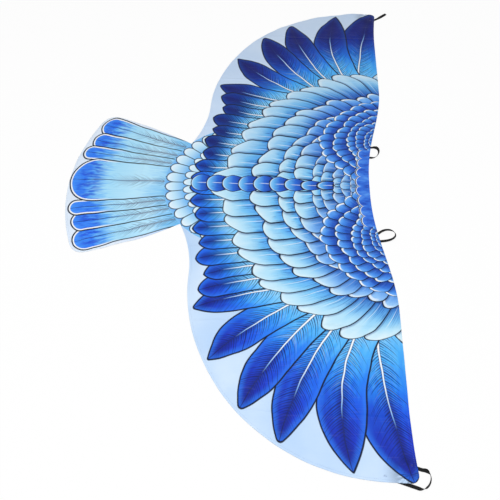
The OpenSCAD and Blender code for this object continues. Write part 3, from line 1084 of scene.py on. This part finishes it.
def plumage():
    """Node group with the print, the same on both wings: feathers on a clouded ground, which is paler on the
    tail; painted light makes the ground paler on the left wing, and painted shade makes its feathers darker.
    All lines wander a little."""
    tree = bpy.data.node_groups.new("plumage", "ShaderNodeTree")
    tree.interface.new_socket("Colour", in_out="OUTPUT", socket_type="NodeSocketColor")
    Field.tree = tree
    plan_x, plan_y = uv_fields("plan")
    wander_x, wander_y = (
        centred(grain(plan_x / WOBBLE_RUN, plan_y / WOBBLE_RUN, pattern, 1), WOBBLE)
        for pattern in (1.7, 8.3)
    )
    x, y = abs(plan_x + wander_x), plan_y + wander_y
    cloud = grain(plan_x / CLOUD_RUN, plan_y / CLOUD_RUN, 4.4, 3)
    # Mask of painted light and shade on the left wing: 1 on the left, 0 on the right
    left = ease(0 - plan_x, 0, LEFT_SHADING_RUN)
    # Painted light: the ground is paler on the left wing
    colour = tint(ramp(cloud, GROUND_INKS), "DFECFE", left * 0.35)
    colour = tint(colour, "EAF3FD", fade(plan_y, -480, -380) * 0.7)
    colour = paint_tail(colour, x, y, cloud)
    colour = paint_rump(colour, x, y)
    colour = paint_flight(colour, x, y, cloud, left)
    colour = paint_coverts(colour, x, y, cloud, left)
    colour = paint_collar(colour, x, y)
    colour = paint_spine(colour, x, y)
    feed(tree.nodes.new("NodeGroupOutput").inputs[0], colour)
    return tree


PRINT = plumage()


# Materials

def new_material(name):
    material = bpy.data.materials.new(name)
    material.use_nodes = True
    Field.tree = material.node_tree
    return material, material.node_tree.nodes["Principled BSDF"]


def printed():
    """Colour of the print."""
    group = add_node("Group")
    group.node_tree = PRINT
    return Field(group)


def bump(shader, height, distance, strength):
    node = add_node("Bump", Strength=strength, Distance=distance * MM, Height=height)
    set_inputs(shader, Normal=Field(node))


def satin(name, faded):
    """Thin polyester satin: the print, its weave with painted shade in its hollows, soft wrinkles, pack
    folds, gathers with painted shade in their folds and a light sheen.
    """
    material, shader = new_material(name)
    colour = printed()
    if faded:
        colour = tint(colour, "F1F6FD", faded)
    x, y = uv_fields("plan")
    weave = sine(x, WEAVE_PITCH) * sine(y, WEAVE_PITCH)
    slub = grain(x / 2.2, y / 30, 0.7)
    # Painted shade in the hollows of the weave
    colour = tint(colour, "0F1E46", (1 - weave) * 0.02)
    colour = tint(colour, "FFFFFF", ease(slub, 0.56, 0.72) * 0.015)
    tip_x, tip_y = abs(x) - PUCKER_AT[0], y - PUCKER_AT[1]
    tip_r = hypot(tip_x, tip_y)
    near_tip = fade(tip_r, *PUCKER_REACH)
    pucker = grain(calc("ARCTAN2", tip_y, tip_x) * 4, tip_r / 70, x / 900) * near_tip
    # Painted shade in the folds of the gathers at the wing tips
    colour = tint(colour, "0A1238", fade(pucker, 0.3, 0.52) * near_tip * 0.55)
    wrinkle = grain(x / 38 + y / 90, y / 60 - x / 140, 3.1, 3) + pucker * 1.2
    sway = centred(grain(x / 80, y / 80, 7.7), 10)
    for off in [abs(x) - place for place in PACK_FOLDS_X] + [y - place for place in PACK_FOLDS_Y]:
        wrinkle = wrinkle + fade(abs(off + sway), 0, PACK_FOLD_HALF) * PACK_FOLD
    set_inputs(shader, Base_Color=colour, Roughness=0.46 + slub * 0.16)
    set_inputs(shader, Specular_IOR_Level=0.14, Sheen_Weight=0.03, Sheen_Roughness=0.4)
    bump(shader, wrinkle + weave * 0.012, 2.5, 0.35)
    return material


def thread_material(name, code):
    """Clear twisted nylon thread: the print shows through it."""
    material, shader = new_material(name)
    along, around = uv_fields("thread")
    twist = calc("SINE", along * 9 + around * 2)
    fleck = grain(along * 2, around, 5)
    colour = tint(printed(), code, THREAD_TINT)
    # Painted shade in the grooves of the twist
    colour = tint(colour, "101C40", fade(twist, -0.8, 0.9) * 0.18)
    colour = tint(colour, "FFFFFF", ease(fleck, 0.5, 0.8) * 0.1)
    set_inputs(shader, Base_Color=colour, Roughness=0.45 + fleck * 0.2)
    bump(shader, twist, 0.08, 0.5)
    return material


def elastic_material():
    """Black woven elastic: rubber cords along it, a fine weft across, painted highlight on the high ribs and
    painted shade between them, and light grey wear in patches.
    """
    material, shader = new_material("woven_elastic")
    along, across = uv_fields("band")
    knit = sine(along, WEFT_PITCH) * sine(across, CORD_PITCH)
    fuzz = grain(along / 1.2, across / 1.2, 2)
    worn = grain(along / 14, across / 9, 6)
    # Painted highlight and shade: lighter on the high ribs, darker in the grooves between them
    colour = ramp(knit * 0.5 + 0.5, ELASTIC_INKS)
    colour = tint(colour, "232327", ease(fuzz, 0.55, 0.75) * ease(worn, 0.45, 0.65) * 0.5)
    set_inputs(shader, Base_Color=colour, Roughness=0.6 + fuzz * 0.25)
    set_inputs(shader, Specular_IOR_Level=0.2, Sheen_Weight=0.04)
    bump(shader, knit * 0.6 + fuzz * 0.4, 0.25, 0.6)
    return material


# Pieces

def spot(point):
    """A point of the plan on the floor of the scene."""
    return point[0] * MM, point[1] * MM, 0


cloth_materials = [satin("satin_print", 0), satin("satin_back", BACK_FADE)]
hem_thread = thread_material("hem_thread", "9CC2F0")
tack_thread = thread_material("tack_thread", "1A2C78")
elastic = elastic_material()

plan, triangles = cloth_plan()
areas = plan_areas(plan, triangles)
triangles[areas < 0] = triangles[areas < 0][:, ::-1]
plan_top, plan_bottom = cloth_heights(plan, edge_distance(plan))
owner = piece_of(plan[triangles].mean(axis=1))

seam = inset(OUTLINE, SEAM_INSET)
stitch_line = spaced(np.concatenate([seam, seam[:1]]), STITCH + STITCH_GAP)
stitch_at = (stitch_line[:-1] + stitch_line[1:]) / 2
stitch_way = unit(np.diff(stitch_line, axis=0))
stitch_top, _ = cloth_heights(stitch_at, np.full(len(stitch_at), SEAM_INSET))
stitch_owner = piece_of(stitch_at)

# Each piece of cloth, the two bodies whose panels and hem seams it stands in for, and two points to either
# side of the hinge line between them
FOLDS = {
    "left": ("back", "left_wing", (-FOLD_X + WING_FOLD[0], 0), (-FOLD_X - WING_FOLD[1], 0)),
    "right": ("back", "right_wing", (FOLD_X - WING_FOLD[0], 0), (FOLD_X + WING_FOLD[1], 0)),
    "tail": ("back", "tail", (0, TAIL_Y + TAIL_FOLD), (0, TAIL_Y - TAIL_FOLD)),
}

for number, (side, (body_a, body_b, start, end)) in enumerate(FOLDS.items()):
    own = triangles[owner == number]
    sheet = shell("cloth_" + side, plan, own, plan_top, plan_bottom, cloth_materials)
    mine = stitch_owner == number
    stitches = threads(
        "hem_stitches_" + side, stitch_at[mine], stitch_way[mine], stitch_top[mine] + THREAD_H * STITCH_RISE,
        STITCH, hem_thread,
    )
    for piece in (sheet, stitches):
        spot(start)
        spot(end)
        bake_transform(piece)
    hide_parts(body_a + "_panel", body_b + "_panel")
    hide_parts(body_a + "_hem_seam", body_b + "_hem_seam")
    area = float(abs(areas[owner == number]).sum()) * MM * MM

for place, loop in LOOPS.items():
    middle, axis, out = loop_frame(place)
    band = elastic_band(place, loop, elastic)
    near, far = middle - out * HINGE_FOLD[0], middle + out * HINGE_FOLD[1]
    spot(near)
    spot(far)
    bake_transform(band)
    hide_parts(place + "_loop", place + "_loop_ends")
    tacks = bar_tacks(place, loop, tack_thread)
    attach(tacks, loop["body"])
    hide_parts(place + "_bar_tacks")


# Floor, light and camera

def seen_directly():
    """1 for what the camera, a reflection or something clear shows, 0 for light that falls on the object."""
    path = add_node("LightPath")
    mirrored = highest(Field(path, "Is Glossy Ray"), Field(path, "Is Transmission Ray"))
    return highest(Field(path, "Is Camera Ray"), mirrored)


def floor_material():
    """White sweep that keeps the object's shadow."""
    material, _ = new_material("white_floor")
    material.node_tree.nodes.clear()
    paper = add_node("BsdfDiffuse", Color=(FLOOR_WHITE, FLOOR_WHITE, FLOOR_WHITE, 1))
    glow = add_node("Emission", Strength=1)
    mix = add_node("MixShader", seen_directly() * FLOOR_GLOW, Field(paper), Field(glow))
    add_node("OutputMaterial", Surface=Field(mix))
    return material


scene = bpy.context.scene
floor_corners = [(x * FLOOR_HALF, y * FLOOR_HALF, FLOOR_Z) for x, y in ((-1, -1), (1, -1), (1, 1), (-1, 1))]
floor = add_mesh("floor", floor_corners, [(0, 1, 2, 3)], [floor_material()])

world = bpy.data.worlds.new("studio")
scene.world = world
world.use_nodes = True
Field.tree = world.node_tree
set_inputs(
    world.node_tree.nodes["Background"], Color=(1, 1, 1, 1),
    Strength=WORLD_LIGHT + seen_directly() * (1 - WORLD_LIGHT),
)

lamp_data = bpy.data.lights.new("softbox", "AREA")
lamp_data.size = LAMP_SIZE
lamp_data.energy = LAMP_POWER
lamp = add_object("softbox", lamp_data)
lamp.location = LAMP_AT
lamp.visible_camera = False

camera_data = bpy.data.cameras.new("camera")
camera_data.lens = CAMERA_LENS
camera = add_object("camera", camera_data)
turned = Matrix((CAMERA_RIGHT, CAMERA_UP, CAMERA_BACK)).transposed()
camera.matrix_world = Matrix.Translation(CAMERA_AT) @ turned.to_4x4()
scene.camera = camera

scene.view_settings.view_transform = "Standard"
